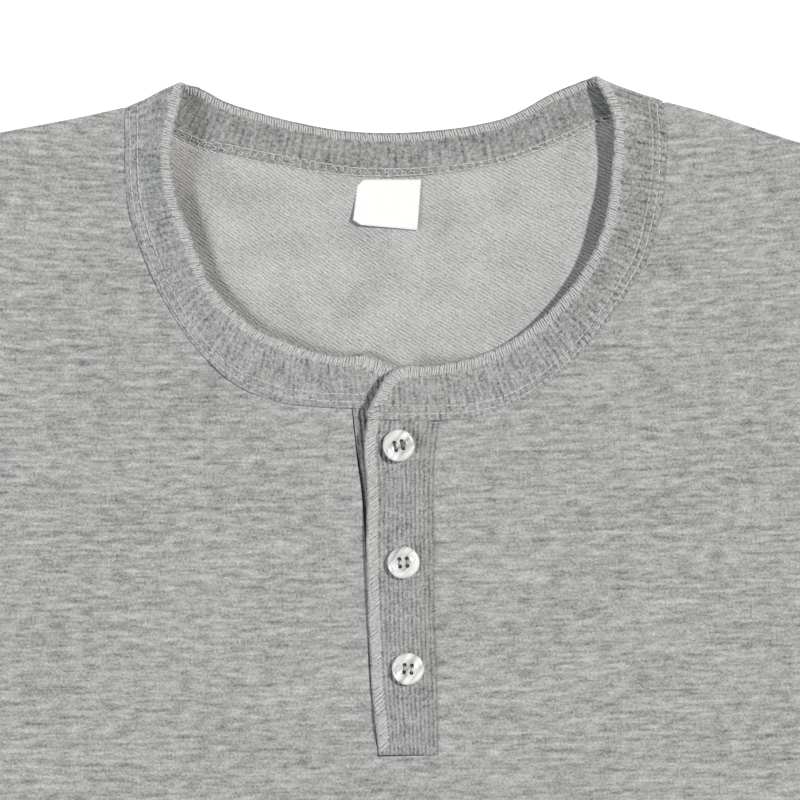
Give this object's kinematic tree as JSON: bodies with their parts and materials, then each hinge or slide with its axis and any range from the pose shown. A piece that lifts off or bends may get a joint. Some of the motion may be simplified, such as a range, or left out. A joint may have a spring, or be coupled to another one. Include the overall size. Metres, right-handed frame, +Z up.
{
  "type": "henley shirt",
  "caption": "Long-sleeved henley shirt in grey heather knit, laid flat on its back, with a ribbed round neck band and a buttoned ribbed placket.",
  "frame": {"origin": "on the surface that the shirt lies on, under the middle of its outline", "axes": "+Z up from the surface, +Y towards the neck, +X towards the wearer's left sleeve"},
  "size_m": [1.4428, 0.7357, 0.0108],
  "materials": {
    "jersey": "matte heather knit",
    "rib": "matte rib knit",
    "woven_label": "smooth woven satin",
    "pearl": "polished, pearly"
  },
  "bodies": {
    "root": {"front": "jersey", "back": "jersey", "sleeve_left": "jersey", "sleeve_right": "jersey", "neck_band": "rib", "placket_top": "rib", "placket_under": "rib", "label": "woven_label", "button_1": "pearl", "button_2": "pearl", "button_3": "pearl"}
  },
  "joints": []
}
